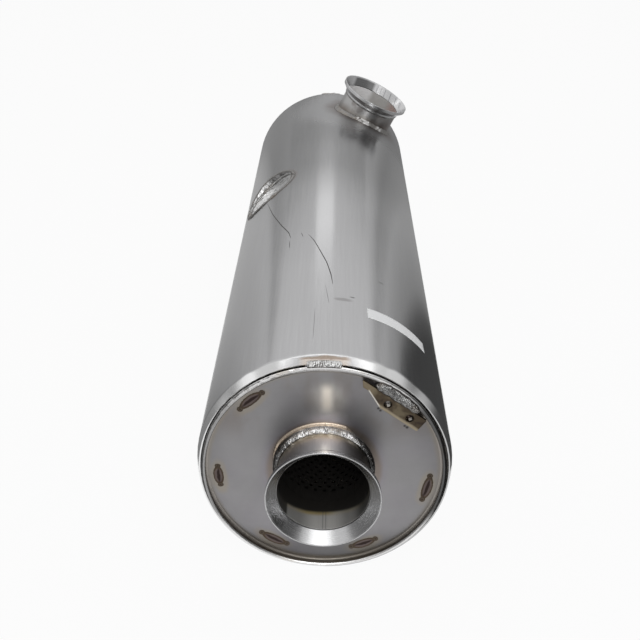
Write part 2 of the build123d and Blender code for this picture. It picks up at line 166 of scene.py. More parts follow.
# Dark scale on the port's disc: place across and along the can from its middle, and radius
BLANK_STAINS = [(-22.9, 28, 3), (-5.7, 36.3, 2.5), (31, 31, 2.5)]

# Smudges on the jacket: distance round it from the top and along it, reach both ways, strength and colour
SMUDGES = [((21, 140.9), (13, 5.5), 0.45, (0.14, 0.13, 0.125)),
           ((32, 150), (4, 1.8), 0.75, (0.06, 0.055, 0.05)),
           ((70, 214.8), (5, 2.5), 0.4, (0.15, 0.145, 0.14))]

# Painted highlights, bright lengths on the outlet's bead: middle across the stub, and half length
GLINT_DASHES = [(-5, 9), (27, 2)]

# The sticker's corners and the scratches' widths and routes: angle round the jacket, and station along it
STICKER = [(19.9, 133.1), (54, 137.3), (54.6, 117.6), (20.2, 110)]
STICKER_CELLS = (12, 48)
STICKER_HEIGHTS = (0.12, 0.02)
SCRATCH_HEIGHT = 0.05
SCRATCH_STEPS = 60
SCRATCHES = {
    "long_scratch": (1.25, [(-40.8, 519.1), (-34.2, 450.2), (-27.2, 392.5), (-21.3, 351), (-20, 331.6)]),
    "short_scratch": (0.6, [(-20.5, 322.9), (-20.2, 311), (-20, 299.5)]),
    "tick_scratch": (0.7, [(-14, 339.6), (-13.4, 332), (-12.8, 324.8)]),
    "curved_scratch": (1.15, [(-9.9, 328.8), (-6.7, 308), (-3.3, 275), (0.5, 237.2), (2.6, 205),
                              (3.1, 191.4), (3.6, 178.2)]),
    "faint_scratch": (0.35, [(0.1, 175), (1, 152), (1.9, 129.3)]),
    "front_faint_scratch": (0.35, [(-4.5, 117.8), (-4.6, 83), (-4.8, 48.3)]),
}

# Colours that more than one tint or finish uses
STAINLESS = (0.42, 0.42, 0.425)
TUBE_STEEL = (0.6, 0.595, 0.59)
STRAW = (0.55, 0.43, 0.24)
BROWN = (0.2, 0.13, 0.08)
# Near black: the dark parts inside the can, the dark marks below the bracket, and painted shadow in the
# inlet's bore and at the inlet flange's bore edge
NEAR_BLACK = (0.02, 0.018, 0.016)


# Directions and places on the can

def radial(angle):
    return np.array([sin(radians(angle)), 0, cos(radians(angle))])


def tangent(angle):
    return np.array([cos(radians(angle)), 0, -sin(radians(angle))])


def on_jacket(angle, station, height=0):
    """Point on the jacket, or height above it."""
    return np.array([JACKET_X, station, JACKET_Z]) + radial(angle) * (JACKET_R + height)


def ring(radius, station, count, start=0, sweep=360):
    """Points round the shell's axis at one station."""
    angles = np.radians(start + sweep * np.arange(count) / (count if sweep == 360 else count - 1))
    return np.stack([radius * np.sin(angles), np.full(count, station), radius * np.cos(angles)], 1)


def from_can_axis(points):
    return points[..., [0, 2]] - [JACKET_X, JACKET_Z]


def reach_to(offset, along, radius):
    """How far to go along a direction from an offset to a circle of that radius."""
    a, b, c = along @ along, offset @ along, (offset**2).sum(-1) - radius**2
    return (-b + np.sqrt(b**2 - a * c)) / a


class Stub:
    """A side stub: where it crosses the jacket, and its directions."""

    def __init__(self, crown, axis, side):
        self.crown, self.axis, self.side = crown, axis, side
        self.up = np.cross(axis, side)

    def circle(self, radius, height, count):
        turn = np.linspace(0, 2 * pi, count, endpoint=False)[:, None]
        return self.crown + self.axis * height + radius * (np.cos(turn) * self.side + np.sin(turn) * self.up)

    def saddle(self, radius, height, count):
        """Points where a tube about the stub's axis meets a cylinder height above the jacket."""
        base = self.circle(radius, 0, count)
        reach = reach_to(from_can_axis(base), self.axis[[0, 2]], JACKET_R + height)
        return base + reach[:, None] * self.axis


def outlet_stub():
    axis = np.array(mounts["outlet_rim"]["axis"])
    centre = mount_place("outlet_rim")
    reach = reach_to(from_can_axis(centre), axis[[0, 2]], JACKET_R)
    return Stub(centre + reach * axis, axis, tangent(degrees(atan2(axis[0], axis[2]))))


def port_stub():
    low, high = box("port_collar")
    return Stub(on_jacket(PORT_ANGLE, (low.y + high.y) / 2), radial(PORT_ANGLE), tangent(PORT_ANGLE))


OUTLET = outlet_stub()
PORT = port_stub()
OUTLET_FACE = (mount_place("outlet_rim") - OUTLET.crown) @ OUTLET.axis + LAND_HALF
OUTLET_FLANGE_BACK = OUTLET_FACE - (FLANGE_HIGH.y - FLANGE_LOW.y)


# Materials

def operator(operation, swapped=False):
    """An operator that adds one Math node."""
    def apply(self, other):
        return self.nodes.math(operation, *((other, self) if swapped else (self, other)))
    return apply


class Number:
    """A number in a node tree; arithmetic adds Math nodes."""

    def __init__(self, nodes, socket):
        self.nodes, self.socket = nodes, socket

    __add__ = __radd__ = operator("ADD")
    __mul__ = __rmul__ = operator("MULTIPLY")
    __truediv__ = operator("DIVIDE")
    __sub__ = operator("SUBTRACT")
    __rsub__ = operator("SUBTRACT", swapped=True)

    def __abs__(self):
        return self.nodes.math("ABSOLUTE", self)

    def fade(self, start, end):
        """0 at start and 1 at end, smooth between; start may be above end."""
        if start < end:
            return self.nodes.map_range(self, (start, end), (0, 1), "SMOOTHSTEP")
        return self.nodes.map_range(self, (end, start), (1, 0), "SMOOTHSTEP")

    def band(self, middle, half, edge):
        """1 within half of the middle, fading to 0 over the edge."""
        return abs(self - middle).fade(half + edge, half)


class Nodes:
    """A node tree. The inputs of a new node are numbers, colours or other nodes' outputs."""

    def __init__(self, owner):
        owner.use_nodes = True
        self.tree = owner.node_tree

    def add(self, kind, inputs, **settings):
        node = self.tree.nodes.new("ShaderNode" + kind)
        for name, value in settings.items():
            setattr(node, name, value)
        for key, value in inputs.items():
            self.feed(node.inputs[key], value)
        return node

    def feed(self, socket, value):
        value = value.socket if isinstance(value, Number) else value
        if isinstance(value, bpy.types.NodeSocket):
            self.tree.links.new(value, socket)
        else:
            socket.default_value = value

    def math(self, operation, *values, clamp=False):
        node = self.add("Math", dict(enumerate(values)), operation=operation, use_clamp=clamp)
        return Number(self, node.outputs[0])

    def map_range(self, value, start, end, kind="LINEAR"):
        """Turns the range start, a pair of numbers, into the range end."""
        names = ("Value", "From Min", "From Max", "To Min", "To Max")
        inputs = dict(zip(names, (value, *start, *end)))
        return Number(self, self.add("MapRange", inputs, interpolation_type=kind).outputs[0])

    def seen_rays(self):
        """1 for the camera's rays and for those in reflections and glass."""
        path = self.add("LightPath", {}).outputs
        total = path["Is Camera Ray"]
        for name in ("Is Glossy Ray", "Is Transmission Ray"):
            total = self.math("ADD", total, path[name], clamp=True)
        return total


class Look(Nodes):
    """One procedural material. Its places are millimetres, apart from point, which is in metres."""

    def __init__(self, name, colour, roughness=0.5, metallic=1):
        self.material = bpy.data.materials.new(name)
        super().__init__(self.material)
        self.bsdf = self.tree.nodes["Principled BSDF"]
        self.bsdf.inputs["Metallic"].default_value = metallic
        self.bsdf.inputs["Roughness"].default_value = roughness
        self.colour = (*colour, 1)
        self.point = self.add("TexCoord", {}).outputs["Object"]
        split = self.add("SeparateXYZ", {0: self.point}).outputs
        self.x, self.y, self.z = (Number(self, split[k]) / MM for k in range(3))
        self.height = None
        self.base_normal = None

    def length(self, *parts):
        total = parts[0] * parts[0]
        for part in parts[1:]:
            total = total + part * part
        return self.math("SQRT", total)

    def vector_math(self, operation, *values, output=0):
        return self.add("VectorMath", dict(enumerate(values)), operation=operation).outputs[output]

    def place(self, x, y, z):
        """Where a noise is taken: millimetres in, metres out."""
        return self.add("CombineXYZ", {0: x * MM, 1: y * MM, 2: z * MM}).outputs[0]

    def noise(self, scale, vector=None, detail=3, rough=0.55, warp=0):
        """Noise between 0 and 1, with scale lumps a metre."""
        inputs = {"Vector": vector or self.point, "Scale": scale, "Detail": detail, "Roughness": rough,
                  "Distortion": warp}
        return Number(self, self.add("TexNoise", inputs).outputs[0])

    def stretched(self, along, across):
        """Place round the can's axis and along it, for lines that run lengthwise."""
        return self.place(self.x * across, self.y * along, self.z * across)

    def from_shell_axis(self):
        return self.length(self.x, self.z)

    def from_jacket_axis(self):
        return self.length(self.x - JACKET_X, self.z - JACKET_Z)

    def unrolled(self):
        """Distance round the jacket from the top, and station along it."""
        return self.math("ARCTAN2", self.x - JACKET_X, self.z - JACKET_Z) * JACKET_R, self.y

    def near(self, x, z):
        """Distance from a place on the end plate."""
        return self.length(self.x - x, self.z - z)

    def from_axis(self, stub):
        """Distance from a stub's axis."""
        out = self.vector_math("SUBTRACT", self.point, stub.crown * MM)
        across = self.vector_math("CROSS_PRODUCT", out, stub.axis)
        return Number(self, self.vector_math("LENGTH", across, output="Value")) / MM

    def along(self, stub, direction):
        """Distance from a stub's crown along one of its directions."""
        product = self.vector_math("DOT_PRODUCT", self.point, direction, output="Value")
        return Number(self, product) / MM - float(stub.crown @ direction)

    def attribute(self, name):
        return Number(self, self.add("Attribute", {}, attribute_name=name).outputs["Fac"])

    def tint(self, factor, colour):
        """Lays a colour over the rest where the factor is 1."""
        inputs = {0: factor, 6: self.colour, 7: (*colour, 1)}
        self.colour = self.add("Mix", inputs, data_type="RGBA").outputs[2]

    def shade(self, value):
        """Multiplies the colour by a number."""
        grey = self.add("CombineColor", {"Red": value, "Green": value, "Blue": value}).outputs[0]
        inputs = {0: 1, 6: self.colour, 7: grey}
        self.colour = self.add("Mix", inputs, data_type="RGBA", blend_type="MULTIPLY").outputs[2]

    def darken(self, share):
        """Takes that share of the colour away."""
        self.shade(1 - share)

    def rough(self, value):
        self.roughness = value
        self.feed(self.bsdf.inputs["Roughness"], value)

    def metal(self, value):
        self.feed(self.bsdf.inputs["Metallic"], value)

    def bump(self, value, depth):
        """Adds relief: the value's range of 0 to 1 is that deep."""
        relief = value * (depth * MM)
        self.height = relief if self.height is None else self.height + relief

    def skin(self, least, spread, scale, bump_scale, depth):
        """Noise in the roughness, and a finer one as relief."""
        self.rough(least + self.noise(scale) * spread)
        self.bump(self.noise(bump_scale), depth)

    def round_edges(self, radius):
        self.base_normal = self.add("Bevel", {"Radius": radius * MM}).outputs[0]

    def done(self):
        self.feed(self.bsdf.inputs["Base Color"], self.colour)
        if self.height is not None:
            bump = self.add("Bump", {"Height": self.height, "Distance": 1})
            if self.base_normal:
                self.feed(bump.inputs["Normal"], self.base_normal)
            self.feed(self.bsdf.inputs["Normal"], bump.outputs[0])
        return self.material


def own_side(look, stub):
    """1 on the stub's side of the can and 0 on the far side."""
    return look.along(stub, stub.axis).fade(-130, -90)


def rolled_sheet(look, across=45, depth=0.03):
    """Cloudy tone, fine lines and a slight waviness, as on mill sheet."""
    lines = look.noise(9, look.stretched(1, across), detail=4, rough=0.6)
    clouds = look.noise(7, detail=2)
    look.shade(0.86 + lines * 0.17 + clouds * 0.11)
    look.rough(0.1 + lines * 0.08 + clouds * 0.07)
    look.bump(lines, depth)
    look.bump(look.noise(5, look.stretched(0.5, 1), detail=1), 0.9)


def jacket_steel():
    """Sheet with painted highlights on its lips, painted shade towards the rear end, a peach tint at the
    stitch beads, and dirt round the outlet and the port.
    """
    look = Look("jacket_steel", STAINLESS)
    rolled_sheet(look)
    arc, station = look.unrolled()
    wobble = look.noise(60) * 8
    # Painted shade: darker towards the rear end
    look.darken(station.fade(430, 640) * 0.26)
    beside_top = abs(arc).fade(22, 50)
    near_top = arc.band(1.5, 20, 10)
    for end in (0, CAN_LENGTH):
        from_end = abs(station - end)
        lip = from_end.fade(17.5, 15)
        # Painted highlights: pale lips beside the top, and a brighter lip low on the left
        look.tint(lip * beside_top, (0.52, 0.52, 0.52))
        look.tint(lip * arc.fade(-85, -118), (0.82, 0.82, 0.82))
        from_end = from_end + wobble
        look.tint(from_end.fade(19, 12) * near_top * 0.5, (0.62, 0.52, 0.43))
        look.tint(from_end.band(15, 1, 2) * near_top * 0.6, BROWN)
    outlet = look.from_axis(OUTLET)
    outlet_side = own_side(look, OUTLET)
    look.rough(look.roughness + outlet.fade(TUBE_R + 90, TUBE_R + 20) * outlet_side * 0.28)
    stained = (outlet + wobble).fade(TUBE_R + 34, TUBE_R + 8) * outlet_side
    mottle = 0.4 + look.noise(38) * 0.9
    look.tint(stained * mottle * 0.75, (0.15, 0.125, 0.115))
    port = look.from_axis(PORT) + wobble
    look.tint(port.fade(PORT_R + 12, PORT_R + 3) * own_side(look, PORT) * 0.5, BROWN)
    for middle, reach, strength, colour in SMUDGES:
        across, along = (arc - middle[0]) / reach[0], (station - middle[1]) / reach[1]
        edge = look.length(across, along) + look.noise(180) * 0.6
        look.tint(edge.fade(1.4, 0.6) * strength, colour)
    return look.done()


def fusion_places(look):
    """Distance along and across from the nearest fusion mark's middle."""
    pitch = radians(FUSION_PITCH)
    margin = 0.8
    turns = (radians(FUSION_START) - look.math("ARCTAN2", look.x, look.z)) / pitch
    turns = look.math("WRAP", turns, 360 / FUSION_PITCH - margin, -margin)
    nearest = look.math("MAXIMUM", look.math("ROUND", turns), 0)
    nearest = look.math("MINIMUM", nearest, len(FUSION_MARKS) - 1)
    return (turns - nearest) * (pitch * FUSION_R), look.from_shell_axis() - FUSION_R


def end_steel(name, has_inlet):
    """Cloudy satin plate, tinted round the fusion marks and at the rim."""
    look = Look(name, (0.285, 0.28, 0.285))
    clouds = look.noise(11)
    grain = look.noise(60, look.place(look.x * 0.25, look.y, look.z * 4), detail=4)
    look.tint(clouds.fade(0.45, 0.75) * 0.5, (0.25, 0.235, 0.26))
    look.shade(0.83 + look.noise(26, detail=4) * 0.26 + grain * 0.08)
    look.rough(0.29 + clouds * 0.1 + grain * 0.1)
    look.bump(grain, 0.02)
    look.bump(look.noise(9, detail=1), 0.35)
    along, across = fusion_places(look)
    halo = look.length(along * 0.4, across) + look.noise(90) * 3
    look.tint(halo.fade(13, 8) * 0.45, (0.34, 0.29, 0.21))
    radius = look.from_shell_axis()
    if has_inlet:
        inlet_end_tints_and_painted_light(look, radius, clouds)
    rim = SHELL_R - 9
    look.tint((radius + look.noise(14) * 6).fade(rim, rim + 6) * 0.35, (0.33, 0.28, 0.2))
    return look.done()


def inlet_end_tints_and_painted_light(look, radius, clouds):
    """Painted shade low on the plate, a painted highlight with a warm streak above the inlet tube, darker
    brown clouds beside it, dirt round the weld, and dark marks below the bracket.
    """
    # Painted shade: darker low on the plate, and a little at its upper right
    look.darken(look.z.fade(-75, -115) * 0.42)
    look.darken(look.x.fade(15, 50) * look.z.fade(20, 60) * 0.08)
    # Painted highlight: a pale patch with a warm streak above the inlet tube
    highlight_patch = look.length((look.x - HIGHLIGHT_PLACE[0]) / HIGHLIGHT_REACH[0], (look.z - HIGHLIGHT_PLACE[1]) / HIGHLIGHT_REACH[1])
    look.tint((highlight_patch + clouds * 0.3).fade(1.25, 0) * 0.85, (0.78, 0.74, 0.69))
    highlight_streak = look.x.band(4, 1, 9) * look.z.band(92, 7, 14)
    look.tint(highlight_streak * 0.85, (0.96, 0.89, 0.79))
    # Darker brown clouds above the tube, beside the streak
    brown_clouds = look.noise(20, look.place(look.x, look.y, look.z * 0.45), detail=4)
    brown_clouds = brown_clouds.fade(0.42, 0.62) * look.z.fade(30, 70)
    look.tint(brown_clouds * (1 - highlight_streak) * 0.45, (0.215, 0.185, 0.165))
    toe = TUBE_R + INLET_TOE
    uneven = look.noise(40) * 4
    look.tint((radius + uneven).fade(toe + 22, toe + 8) * 0.25, (0.25, 0.21, 0.27))
    look.tint((radius + uneven).fade(toe + 13, toe + 6) * 0.6, (0.22, 0.17, 0.12))
    # Dark marks just below the bracket's lower edge
    for x, z, reach in BELOW_BRACKET_MARKS:
        spot = look.near(x, z) + uneven * 0.5
        look.tint(spot.fade(reach + 2.2, reach + 0.6) * 0.75, NEAR_BLACK)


def shell_steel():
    """Sheet, near black inside the can."""
    look = Look("shell_steel", STAINLESS)
    rolled_sheet(look)
    within = look.from_shell_axis().fade(SHELL_R - 0.5, SHELL_R - 1.2)
    look.tint(within * look.y.fade(12, 20) * 0.95, NEAR_BLACK)
    look.rough(look.roughness + within * 0.3)
    return look.done()


def weld_steel(name, colour, hollow_colour=(0.07, 0.06, 0.055), hollows=0.85, glint_dashes=False):
    """Bright ripples with dark hollows between them, from the beads' relief; a smooth peach toe.

    The last flag adds painted highlights: short bright lengths on the near side of the outlet's bead.
    """
    look = Look(name, colour)
    relief, toe = look.attribute("relief"), look.attribute("toe")
    grain = look.noise(800)
    look.tint((relief + grain * 0.5).fade(0.85, 0.45) * hollows, hollow_colour)
    look.tint(look.noise(45).fade(0.5, 0.66) * 0.4, (0.22, 0.18, 0.14))
    radius = look.from_shell_axis()
    near_tube = radius.fade(TUBE_R + 14, TUBE_R + 10)
    # Painted shade: beads round the inlet tube darker at their sides, most on the right
    look.darken(near_tube * look.x.fade(24, 46) * 0.84)
    look.darken(near_tube * look.x.fade(-22, -46) * 0.68)
    look.tint(toe, (0.4, 0.29, 0.2))
    look.tint(toe * radius.fade(TUBE_R + INLET_TOE + 1.5, TUBE_R + INLET_TOE + 4), (0.86, 0.72, 0.58))
    if glint_dashes:
        # Painted highlights in patches on the near side of the outlet's bead
        patches = look.noise(130, detail=2).fade(0.4, 0.56)
        side = look.along(OUTLET, OUTLET.side) + grain * 4
        near = look.along(OUTLET, OUTLET.up).fade(0, -10)
        for middle, half in GLINT_DASHES:
            look.tint(side.band(middle + 2, half, 6) * near * patches * 0.85, (0.84, 0.835, 0.83))
    look.rough(0.18 + grain * 0.25)
    look.bump(grain, 0.25)
    look.bump(look.noise(430, detail=2) * (1 - toe), 0.9)
    return look.done()


def rim_steel():
    """The rim's fused edge: smooth and bright, tinted here and there, darker at its sides."""
    look = Look("rim_steel", (0.74, 0.735, 0.73))
    grain = look.noise(500)
    look.tint(look.attribute("relief").fade(0.45, 0.15) * 0.5, (0.3, 0.28, 0.26))
    look.tint(look.noise(16).fade(0.55, 0.72) * 0.4, STRAW)
    look.darken(look.z.band(15, 60, 40) * (0.54 + look.x.fade(-10, 10) * 0.31))
    look.rough(0.2 + grain * 0.2)
    look.bump(grain, 0.05)
    return look.done()


def fusion_steel():
    """Violet-grey lens in a brown outline, with a dark slot and a dull round dot at each end."""
    look = Look("fusion_steel", (0.085, 0.063, 0.046))
    along = look.attribute("along")
    across = look.attribute("across") + (look.noise(220) - 0.5) * 1.6
    edge = look.length(along / FUSION_HALF, across * (2 / FUSION_WIDTH))
    look.tint(edge.fade(0.8, 0.62) * 0.9, (0.135, 0.108, 0.102))
    slot = look.length(along / 12, (across + along * 0.03) / 1.7)
    look.tint(slot.fade(1.25, 0.7) * 0.95, (0.032, 0.022, 0.02))
    dot = look.length(abs(along) - FUSION_HALF, across) / FUSION_DOT
    look.tint(dot.fade(1, 0.75) * 0.9, (0.1, 0.08, 0.062))
    look.tint(dot.band(0.82, 0.03, 0.15) * 0.6, (0.05, 0.038, 0.028))
    look.tint(dot.fade(0.45, 0.15) * 0.8, (0.045, 0.035, 0.03))
    look.skin(0.3, 0.2, 300, 400, 0.1)
    return look.done()


def drawn_tube(look, radius, from_weld, straw):
    """Lengthwise lines, a straw tint towards the weld, and a matt bore; gives 1 inside the tube."""
    rolled_sheet(look, across=60, depth=0.02)
    look.tint(from_weld.fade(20, 8) * straw, STRAW)
    look.tint(from_weld.fade(9, 5) * 0.5, BROWN)
    inside = radius.fade(TUBE_BORE + 0.8, TUBE_BORE + 0.3)
    look.tint(inside, (0.54, 0.53, 0.51))
    look.metal(1 - inside * 0.9)
    look.rough(0.28 + inside * 0.25)
    return inside


def inlet_tube_steel():
    """Bore with a seam and fine lines, gold where it turns near black, painted shade and shadow at its
    sides; outside, painted shade on the right.
    """
    look = Look("inlet_tube_steel", TUBE_STEEL)
    from_weld = abs(look.y - PLATE_FRONT) + look.noise(50) * 5
    inside = drawn_tube(look, look.from_shell_axis(), from_weld, 0.55)
    # Painted shade: outside darker on the right, and the bore darker towards its sides
    look.darken((1 - inside) * look.x.fade(18, 44) * 0.74)
    look.darken(inside * abs(look.x).fade(8, 28) * 0.5)
    lines = look.noise(1, look.place(look.x * 400, 0, look.z * 2))
    look.tint(inside * lines.fade(0.55, 0.7) * 0.35, (0.35, 0.33, 0.31))
    depth = look.y + look.noise(30, detail=2) * 3 + look.x * look.x * DARK_CURVE
    golden = 0.25 + look.x.band(-8, 8, 18) * 0.6
    look.tint(inside * depth.fade(DARK_FROM - 6, DARK_FROM) * golden, (0.4, 0.31, 0.12))
    for seam in TUBE_SEAM:
        look.tint(inside * look.x.band(seam, 0.3, 0.7) * 0.5, (0.16, 0.155, 0.15))
    # Near black inside from a set depth onwards, sooner at the sides
    look.tint(inside * depth.fade(DARK_FROM - 1, DARK_FROM + 5), NEAR_BLACK)
    # Painted shadow: near black at the bore's two sides
    look.tint(inside * look.x.fade(-38.5, -40.5) * 0.9, NEAR_BLACK)
    look.tint(inside * look.x.fade(28, 43) * 0.8, NEAR_BLACK)
    return look.done()


def outlet_tube_steel():
    """Painted light in one half of the bore; outside darker with painted shade on the right, dark low on the
    right by the bead, mottled, and with brown dirt low on the left.
    """
    look = Look("outlet_tube_steel", TUBE_STEEL)
    from_weld = look.from_jacket_axis() - JACKET_R + look.noise(50) * 5
    inside = drawn_tube(look, look.from_axis(OUTLET), from_weld, 0.15)
    outside = 1 - inside
    side = look.along(OUTLET, OUTLET.side)
    # Painted light: one half of the bore bright
    look.tint(inside * side.fade(6, -6), (0.97, 0.97, 0.97))
    look.tint(inside * side.fade(30, 44) * 0.6, (0.42, 0.24, 0.2))
    # Outside darker all round, and painted shade on its right side
    look.darken(outside * (0.22 + side.fade(16, 40) * 0.35))
    # Dark low on the right side, by the bead
    look.tint(outside * from_weld.fade(34, 6) * side.fade(6, 32) * 0.95, (0.07, 0.055, 0.05))
    look.tint(outside * look.noise(34).fade(0.48, 0.62) * 0.6, (0.2, 0.175, 0.165))
    look.tint(outside * side.fade(-22, -44) * from_weld.fade(24, 6) * 0.75, (0.11, 0.08, 0.065))
    return look.done()


def flange_steel(stub=None):
    """Turned finish: fine rings about the flange's axis; on a side stub, a painted reflection inside beyond
    the mouth, a dark band and stripes; on the inlet, a painted shadow at the bore's edge and stains.
    """
    look = Look("outlet_flange_steel" if stub else "inlet_flange_steel", (0.54, 0.54, 0.545))
    radius = look.from_axis(stub) if stub else look.from_shell_axis()
    depth = look.from_jacket_axis() if stub else look.y
    rings = look.noise(1, look.place(radius * 900, depth * 900, 0), rough=0.7)
    wear = look.noise(30, detail=4)
    look.shade(0.82 + rings * 0.22 + wear * 0.08)
    if stub:
        side = look.along(stub, stub.side)
        mouth = look.along(stub, stub.up).fade(4, 16) * radius.fade(TUBE_R + 9, TUBE_R + 7.5)
        # Painted reflection inside the mouth: a dark band, and stripes on its other side
        look.tint(mouth * side.band(-20, 16, 7) * 0.85, (0.1, 0.1, 0.1))
        reflection_stripes = look.noise(1, look.place(side * 260, 0, 0), detail=2)
        look.tint(mouth * side.fade(0, 10) * reflection_stripes.fade(0.52, 0.6) * 0.6, (0.16, 0.16, 0.17))
    else:
        # Painted shadow: a dark line at the bore's edge
        look.tint(radius.fade(TUBE_BORE + 1.3, TUBE_BORE + 0.6) * 0.85, NEAR_BLACK)
        for x, z, reach in FLANGE_STAINS:
            spot = look.near(x, z) + wear * 3
            look.tint(spot.fade(reach + 2.6, reach + 0.2) * 0.5, (0.12, 0.115, 0.11))
    look.rough(0.14 + rings * 0.16 + wear * 0.08)
    look.round_edges(1.3)
    look.bump(rings, 0.06)
    return look.done()


# Near black finish for the parts deep inside the can
def inner_dark_steel():
    look = Look("inner_dark_steel", NEAR_BLACK, 0.6, metallic=0.15)
    look.shade(0.6 + look.noise(120) * 0.9)
    return look.done()


def bracket_steel():
    """Brown plate with paler patches, its arm and lower edge lighter, and a painted highlight along its
    sloped edge.
    """
    look = Look("bracket_steel", (0.085, 0.066, 0.046))
    patches = look.noise(70)
    look.tint(patches.fade(0.5, 0.64) * 0.8, (0.17, 0.14, 0.095))
    look.tint(patches.fade(0.45, 0.32) * 0.7, (0.045, 0.034, 0.03))
    out, side = radial(BRACKET_ANGLE), tangent(BRACKET_ANGLE)
    reach = look.x * float(out[0]) + look.z * float(out[2])
    along = look.x * float(side[0]) + look.z * float(side[2])
    look.tint(along.fade(-16, -26) * 0.6, (0.3, 0.25, 0.17))
    lower = BRACKET_OUTER - BRACKET_WIDTH
    look.tint((reach + patches * 3).fade(lower + 6, lower + 3) * 0.75, (0.42, 0.36, 0.26))
    # Painted highlight along the sloped lower edge of the arm
    sloped_edge = reach + (along - BRACKET_ARM_END) * BRACKET_SLOPE - (BRACKET_OUTER - BRACKET_ARM_WIDTH)
    look.tint(sloped_edge.fade(2, 0.6) * along.band(-15, 9, 3) * 0.85, (0.85, 0.82, 0.75))
    look.round_edges(0.9)
    look.skin(0.26, 0.2, 200, 300, 0.1)
    return look.done()


def blank_steel():
    """The port's disc: cast-like grey skin with scale, darker towards one side as painted shade."""
    look = Look("blank_steel", (0.86, 0.86, 0.86))
    scale = look.noise(85, warp=0.6)
    side, up = look.along(PORT, PORT.side), look.along(PORT, PORT.up)
    # Painted shade: darker towards one side and the top
    look.darken((side + up * 0.3).fade(0, 22) * 0.45)
    look.tint(scale.fade(0.52, 0.62) * 0.8, (0.16, 0.155, 0.15))
    for across, along, reach in BLANK_STAINS:
        away = look.length(side - across, up - along) + scale * 9
        look.tint(away.fade(reach + 6.5, reach + 3) * 0.85, (0.09, 0.085, 0.08))
    look.rough(0.34 + scale * 0.2)
    look.bump(look.noise(75), 3.5)
    return look.done()


def dull_steel():
    look = Look("dull_steel", (0.36, 0.35, 0.34))
    rolled_sheet(look, across=30)
    return look.done()


def nut_steel():
    """Dark, with a painted glint, a bright strip, on the top of each nut's bore."""
    look = Look("nut_steel", (0.16, 0.13, 0.09), 0.2)
    half = mounts["bracket_holes"]["dims"]["pcd_mm"] / 2
    strips = []
    for sign in (-1, 1):
        x, _, z = (float(v) for v in mount_place("bracket_holes") + sign * half * tangent(BRACKET_ANGLE))
        strips.append(look.near(x, z).fade(6, 5) * abs(look.x - x - 1).fade(2.4, 1))
    # Painted glint: a bright, less metallic strip in each nut's bore
    painted_glint = strips[0] + strips[1]
    look.tint(painted_glint, (0.98, 0.96, 0.9))
    look.metal(1 - painted_glint * 0.9)
    look.bump(look.noise(400, detail=2), 0.05)
    return look.done()


def fibre(name, colour):
    look = Look(name, colour, 0.9, metallic=0)
    strands = look.noise(300, look.stretched(0.4, 2), detail=5, rough=0.7)
    look.shade(0.65 + strands * 0.6)
    look.bump(strands, 0.8)
    return look.done()


def honeycomb(name, colour, dark_face=None):
    """Ceramic, near black at its upstream face where that face's station is given."""
    look = Look(name, colour, 0.8, metallic=0)
    pores = look.noise(700, detail=4)
    look.shade(0.75 + pores * 0.4)
    if dark_face:
        look.tint(look.y.fade(dark_face + 8, dark_face + 1) * 0.95, NEAR_BLACK)
    look.bump(pores, 0.2)
    return look.done()


def sticker_paper():
    look = Look("sticker_paper", (0.97, 0.98, 0.99), 0.35, metallic=0)
    look.shade(0.95 + look.noise(60) * 0.08)
    look.bump(look.noise(45, detail=2), 0.15)
    return look.done()


def scratch_mark():
    look = Look("scratch_mark", (0.045, 0.042, 0.04), 0.5, metallic=0.6)
    look.shade(0.6 + look.noise(500, detail=2) * 0.8)
    return look.done()


# Meshes

def new_object(name, data):
    piece = bpy.data.objects.new(name, data)
    scene.collection.objects.link(piece)
    return piece


def mesh_object(name, points, faces, material):
    mesh = bpy.data.meshes.new(name)
    mesh.from_pydata([tuple(p) for p in np.asarray(points, float) * MM], [], faces)
    mesh.materials.append(material)
    return new_object(name, mesh)


def mesh_piece(name, points, faces, material, node=None, values=None):
    """Piece of the part, in place of a node if one is named; values holds numbers kept at its points."""
    piece = mesh_object(name, points, faces, material)
    mesh = piece.data
    mesh.validate()
    mesh.polygons.foreach_set("use_smooth", [True] * len(mesh.polygons))
    for key, numbers in (values or {}).items():
        layer = mesh.attributes.new(key, "FLOAT", "POINT")
        layer.data.foreach_set("value", np.asarray(numbers, np.float32))
    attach(piece, "root")
    if node:
        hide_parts(node)


def unit(vectors):
    return vectors / np.linalg.norm(vectors, axis=1)[:, None]


def grid_faces(rows, columns, closed_rows=False, closed_columns=False):
    faces = []
    for i in range(rows if closed_rows else rows - 1):
        for j in range(columns if closed_columns else columns - 1):
            here, below = i * columns, (i + 1) % rows * columns
            beside = (j + 1) % columns
            faces.append((here + j, here + beside, below + beside, below + j))
    return faces


# How far apart the places of two noises lie that should differ
NOISE_STEP = 1000
WET_STEPS = 6


def fractal(point, scale):
    return noise.fractal(Vector(point) * scale, 1, 2, 3)


